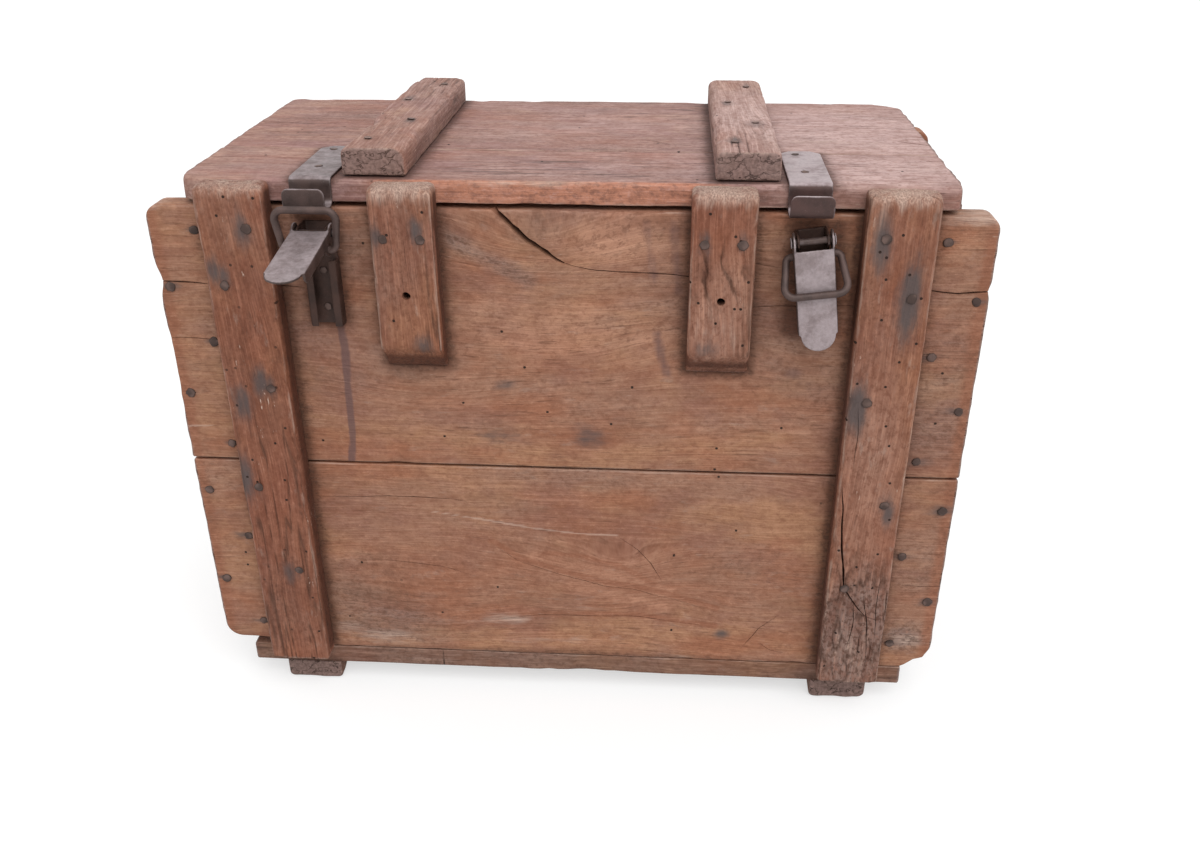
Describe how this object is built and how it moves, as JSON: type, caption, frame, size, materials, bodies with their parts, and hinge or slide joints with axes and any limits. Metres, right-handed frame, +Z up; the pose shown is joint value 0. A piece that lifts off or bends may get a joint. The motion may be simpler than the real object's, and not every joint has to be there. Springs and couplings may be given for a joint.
{
  "type": "wooden trunk",
  "caption": "Nailed plank trunk with upright battens, a battened hinged lid, toggle latches with wire bails and lid hooks at the front, carrying cleats on the ends and skids below.",
  "frame": {"origin": "on the ground, below the middle of the whole trunk's bounding box", "axes": "+X along the trunk to its right end seen from the front, +Y from front to back, +Z up"},
  "size_m": [0.603, 0.3891, 0.468],
  "materials": {
    "plank_wood": "aged, reddish brown, stained round the nails",
    "lid_wood": "aged, greyed and splintered at the edges",
    "batten_wood": "aged, reddish brown, worn pale at the ends",
    "floor_wood": "rough sawn and dirty",
    "latch_steel": "worn, dull, brown in the recesses",
    "wire_steel": "worn, dull, brown",
    "hinge_iron": "dark, lightly rusted",
    "nail_iron": "dark, rusted, hammered",
    "fitting_nail_iron": "dark, hammered"
  },
  "bodies": {
    "carcase": {"front_lower_plank": "plank_wood", "front_upper_plank": "plank_wood", "back_lower_plank": "plank_wood", "back_upper_plank": "plank_wood", "left_end_lower_board": "plank_wood", "left_end_upper_board": "plank_wood", "right_end_lower_board": "plank_wood", "right_end_upper_board": "plank_wood", "floor_front_board": "floor_wood", "floor_middle_board": "floor_wood", "floor_back_board": "floor_wood", "left_skid": "floor_wood", "right_skid": "floor_wood", "left_front_corner_cleat": "batten_wood", "left_back_corner_cleat": "batten_wood", "right_front_corner_cleat": "batten_wood", "right_back_corner_cleat": "batten_wood", "left_hand_cleat": "batten_wood", "right_hand_cleat": "batten_wood", "left_front_batten": "batten_wood", "left_back_batten": "batten_wood", "right_front_batten": "batten_wood", "right_back_batten": "batten_wood", "left_front_block": "batten_wood", "right_front_block": "batten_wood", "left_latch_base": "latch_steel", "right_latch_base": "latch_steel", "left_latch_pin": "latch_steel", "right_latch_pin": "latch_steel", "left_hinge_body_leaf": "hinge_iron", "right_hinge_body_leaf": "hinge_iron", "left_hinge_pin": "hinge_iron", "right_hinge_pin": "hinge_iron", "front_nails": "nail_iron", "back_nails": "nail_iron", "end_nails": "nail_iron", "floor_nails": "nail_iron", "skid_nails": "nail_iron", "latch_nails": "fitting_nail_iron", "hinge_body_screws": "hinge_iron"},
    "lid": {"lid_front_plank": "lid_wood", "lid_back_plank": "lid_wood", "left_lid_batten": "batten_wood", "right_lid_batten": "batten_wood", "left_hook_plate": "latch_steel", "right_hook_plate": "latch_steel", "left_hinge_lid_leaf": "hinge_iron", "right_hinge_lid_leaf": "hinge_iron", "lid_nails": "nail_iron", "hook_nails": "fitting_nail_iron", "hinge_lid_screws": "hinge_iron"},
    "left_lever": {"left_latch_lever": "latch_steel"},
    "left_bail": {"left_latch_bail": "wire_steel"},
    "right_lever": {"right_latch_lever": "latch_steel"},
    "right_bail": {"right_latch_bail": "wire_steel"}
  },
  "joints": [
    {"name": "lid_hinge", "type": "hinge", "parent": "carcase", "child": "lid", "pos_m": [0, 0.178, 0.428], "axis": [-1, 0, 0], "range_deg": [0, 105]},
    {"name": "left_lever_pivot", "type": "hinge", "parent": "carcase", "child": "left_lever", "pos_m": [-0.174, -0.1145, 0.4125], "axis": [-1, 0, 0], "range_deg": [-82, 14]},
    {"name": "left_bail_pivot", "type": "hinge", "parent": "left_lever", "child": "left_bail", "pos_m": [-0.174, -0.12548, 0.40439], "axis": [1, 0, 0], "range_deg": [-12, 58]},
    {"name": "right_lever_pivot", "type": "hinge", "parent": "carcase", "child": "right_lever", "pos_m": [0.1715, -0.1145, 0.4125], "axis": [-0.9914, 0, -0.1305], "range_deg": [0, 105]},
    {"name": "right_bail_pivot", "type": "hinge", "parent": "right_lever", "child": "right_bail", "pos_m": [0.17307, -0.108, 0.4006], "axis": [0.9914, 0, 0.1305], "range_deg": [-119, 0]}
  ]
}
